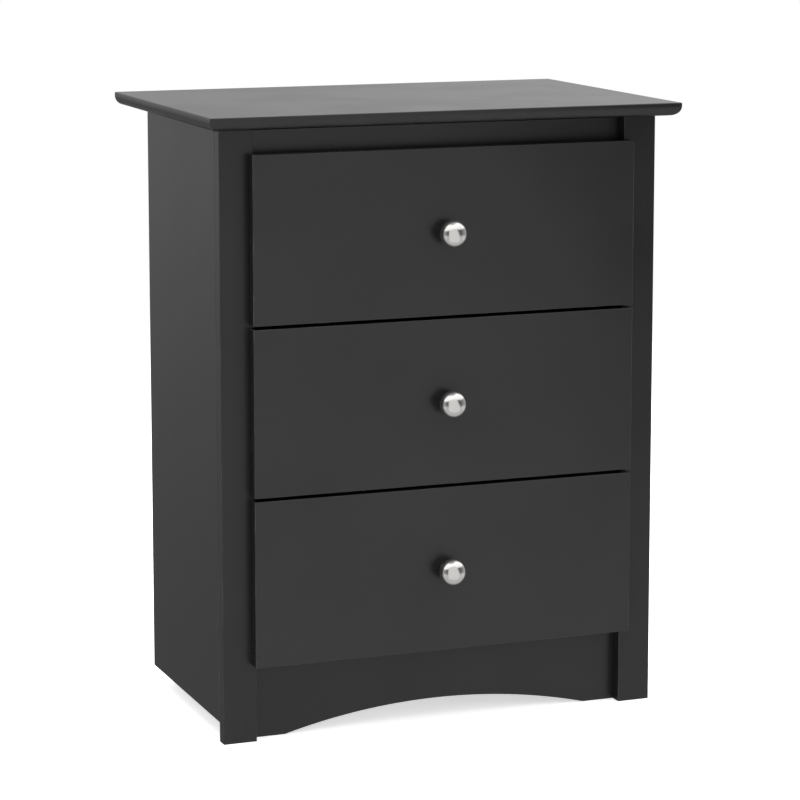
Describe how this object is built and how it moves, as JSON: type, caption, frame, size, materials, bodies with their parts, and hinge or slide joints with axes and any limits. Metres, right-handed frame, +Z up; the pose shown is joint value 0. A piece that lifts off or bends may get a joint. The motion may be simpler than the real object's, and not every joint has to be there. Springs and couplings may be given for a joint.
{
  "type": "nightstand with drawers",
  "caption": "Tall nightstand of dark laminated board with sliding drawers, an overhanging milled top, an arched kick board and round brushed metal knobs.",
  "frame": {"origin": "bottom centre of the whole piece, knobs and top included, on the floor", "axes": "+X to the right seen from the front, +Y to the back, the drawer fronts face -Y, +Z up"},
  "size_m": [0.59, 0.4096, 0.74],
  "materials": {
    "charcoal_laminate": "satin black melamine laminate on particle board, very fine texture",
    "drawer_board": "black melamine foil on particle board drawer sides",
    "drawer_hardboard": "hardboard with a dark printed paper face",
    "back_hardboard": "raw brown hardboard",
    "batten_wood": "planed softwood",
    "dowel_wood": "fluted beech",
    "runner_steel": "white epoxy coated steel",
    "white_nylon": "moulded nylon",
    "brushed_nickel": "brushed nickel plate, turned grain",
    "foot_plastic": "moulded black plastic",
    "zinc_screws": "zinc plated",
    "zinc_fittings": "die-cast zinc"
  },
  "bodies": {
    "case": {"top_panel": "charcoal_laminate", "left_side_panel": "charcoal_laminate", "right_side_panel": "charcoal_laminate", "left_front_stile": "charcoal_laminate", "right_front_stile": "charcoal_laminate", "top_front_rail": "charcoal_laminate", "kick_board": "charcoal_laminate", "bottom_panel": "charcoal_laminate", "back_panel": "back_hardboard", "rear_top_rail": "charcoal_laminate", "left_runner_cleats": "batten_wood", "right_runner_cleats": "batten_wood", "left_cabinet_runners": "runner_steel", "right_cabinet_runners": "runner_steel", "rear_feet": "foot_plastic", "foot_screws": "zinc_screws", "cam_locks": "zinc_fittings", "cam_bolts": "zinc_fittings", "dowels": "dowel_wood", "runner_screws": "zinc_screws", "back_panel_nails": "zinc_screws"},
    "top_drawer": {"top_drawer_front": "charcoal_laminate", "top_drawer_left_side": "drawer_board", "top_drawer_right_side": "drawer_board", "top_drawer_back": "drawer_board", "top_drawer_bottom": "drawer_hardboard", "top_drawer_knob": "brushed_nickel", "top_drawer_fixings": "zinc_fittings", "top_drawer_left_runner": "runner_steel", "top_drawer_right_runner": "runner_steel"},
    "top_drawer_left_cabinet_roller": {"top_drawer_left_cabinet_roller": "white_nylon"},
    "top_drawer_left_roller": {"top_drawer_left_roller": "white_nylon"},
    "top_drawer_right_cabinet_roller": {"top_drawer_right_cabinet_roller": "white_nylon"},
    "top_drawer_right_roller": {"top_drawer_right_roller": "white_nylon"},
    "middle_drawer": {"middle_drawer_front": "charcoal_laminate", "middle_drawer_left_side": "drawer_board", "middle_drawer_right_side": "drawer_board", "middle_drawer_back": "drawer_board", "middle_drawer_bottom": "drawer_hardboard", "middle_drawer_knob": "brushed_nickel", "middle_drawer_fixings": "zinc_fittings", "middle_drawer_left_runner": "runner_steel", "middle_drawer_right_runner": "runner_steel"},
    "middle_drawer_left_cabinet_roller": {"middle_drawer_left_cabinet_roller": "white_nylon"},
    "middle_drawer_left_roller": {"middle_drawer_left_roller": "white_nylon"},
    "middle_drawer_right_cabinet_roller": {"middle_drawer_right_cabinet_roller": "white_nylon"},
    "middle_drawer_right_roller": {"middle_drawer_right_roller": "white_nylon"},
    "bottom_drawer": {"bottom_drawer_front": "charcoal_laminate", "bottom_drawer_left_side": "drawer_board", "bottom_drawer_right_side": "drawer_board", "bottom_drawer_back": "drawer_board", "bottom_drawer_bottom": "drawer_hardboard", "bottom_drawer_knob": "brushed_nickel", "bottom_drawer_fixings": "zinc_fittings", "bottom_drawer_left_runner": "runner_steel", "bottom_drawer_right_runner": "runner_steel"},
    "bottom_drawer_left_cabinet_roller": {"bottom_drawer_left_cabinet_roller": "white_nylon"},
    "bottom_drawer_left_roller": {"bottom_drawer_left_roller": "white_nylon"},
    "bottom_drawer_right_cabinet_roller": {"bottom_drawer_right_cabinet_roller": "white_nylon"},
    "bottom_drawer_right_roller": {"bottom_drawer_right_roller": "white_nylon"}
  },
  "joints": [
    {"name": "top_drawer_slide", "type": "slide", "parent": "case", "child": "top_drawer", "axis": [0, -1, 0], "range_m": [0, 0.185]},
    {"name": "top_drawer_left_cabinet_roller_spin", "type": "hinge", "parent": "case", "child": "top_drawer_left_cabinet_roller", "pos_m": [-0.2278, -0.12725, 0.5275], "axis": [1, 0, 0], "continuous": true},
    {"name": "top_drawer_left_roller_spin", "type": "hinge", "parent": "top_drawer", "child": "top_drawer_left_roller", "pos_m": [-0.2278, 0.08275, 0.5275], "axis": [1, 0, 0], "continuous": true},
    {"name": "top_drawer_right_cabinet_roller_spin", "type": "hinge", "parent": "case", "child": "top_drawer_right_cabinet_roller", "pos_m": [0.2278, -0.12725, 0.5275], "axis": [1, 0, 0], "continuous": true},
    {"name": "top_drawer_right_roller_spin", "type": "hinge", "parent": "top_drawer", "child": "top_drawer_right_roller", "pos_m": [0.2278, 0.08275, 0.5275], "axis": [1, 0, 0], "continuous": true},
    {"name": "middle_drawer_slide", "type": "slide", "parent": "case", "child": "middle_drawer", "axis": [0, -1, 0], "range_m": [0, 0.185]},
    {"name": "middle_drawer_left_cabinet_roller_spin", "type": "hinge", "parent": "case", "child": "middle_drawer_left_cabinet_roller", "pos_m": [-0.2278, -0.12725, 0.3255], "axis": [1, 0, 0], "continuous": true},
    {"name": "middle_drawer_left_roller_spin", "type": "hinge", "parent": "middle_drawer", "child": "middle_drawer_left_roller", "pos_m": [-0.2278, 0.08275, 0.3255], "axis": [1, 0, 0], "continuous": true},
    {"name": "middle_drawer_right_cabinet_roller_spin", "type": "hinge", "parent": "case", "child": "middle_drawer_right_cabinet_roller", "pos_m": [0.2278, -0.12725, 0.3255], "axis": [1, 0, 0], "continuous": true},
    {"name": "middle_drawer_right_roller_spin", "type": "hinge", "parent": "middle_drawer", "child": "middle_drawer_right_roller", "pos_m": [0.2278, 0.08275, 0.3255], "axis": [1, 0, 0], "continuous": true},
    {"name": "bottom_drawer_slide", "type": "slide", "parent": "case", "child": "bottom_drawer", "axis": [0, -1, 0], "range_m": [0, 0.185]},
    {"name": "bottom_drawer_left_cabinet_roller_spin", "type": "hinge", "parent": "case", "child": "bottom_drawer_left_cabinet_roller", "pos_m": [-0.2278, -0.12725, 0.1235], "axis": [1, 0, 0], "continuous": true},
    {"name": "bottom_drawer_left_roller_spin", "type": "hinge", "parent": "bottom_drawer", "child": "bottom_drawer_left_roller", "pos_m": [-0.2278, 0.08275, 0.1235], "axis": [1, 0, 0], "continuous": true},
    {"name": "bottom_drawer_right_cabinet_roller_spin", "type": "hinge", "parent": "case", "child": "bottom_drawer_right_cabinet_roller", "pos_m": [0.2278, -0.12725, 0.1235], "axis": [1, 0, 0], "continuous": true},
    {"name": "bottom_drawer_right_roller_spin", "type": "hinge", "parent": "bottom_drawer", "child": "bottom_drawer_right_roller", "pos_m": [0.2278, 0.08275, 0.1235], "axis": [1, 0, 0], "continuous": true}
  ],
  "couplings": [
    {"joint": "top_drawer_left_cabinet_roller_spin", "follows": "top_drawer_slide", "rad_per_m": 100},
    {"joint": "top_drawer_left_roller_spin", "follows": "top_drawer_slide", "rad_per_m": 100},
    {"joint": "top_drawer_right_cabinet_roller_spin", "follows": "top_drawer_slide", "rad_per_m": 100},
    {"joint": "top_drawer_right_roller_spin", "follows": "top_drawer_slide", "rad_per_m": 100},
    {"joint": "middle_drawer_left_cabinet_roller_spin", "follows": "middle_drawer_slide", "rad_per_m": 100},
    {"joint": "middle_drawer_left_roller_spin", "follows": "middle_drawer_slide", "rad_per_m": 100},
    {"joint": "middle_drawer_right_cabinet_roller_spin", "follows": "middle_drawer_slide", "rad_per_m": 100},
    {"joint": "middle_drawer_right_roller_spin", "follows": "middle_drawer_slide", "rad_per_m": 100},
    {"joint": "bottom_drawer_left_cabinet_roller_spin", "follows": "bottom_drawer_slide", "rad_per_m": 100},
    {"joint": "bottom_drawer_left_roller_spin", "follows": "bottom_drawer_slide", "rad_per_m": 100},
    {"joint": "bottom_drawer_right_cabinet_roller_spin", "follows": "bottom_drawer_slide", "rad_per_m": 100},
    {"joint": "bottom_drawer_right_roller_spin", "follows": "bottom_drawer_slide", "rad_per_m": 100}
  ]
}
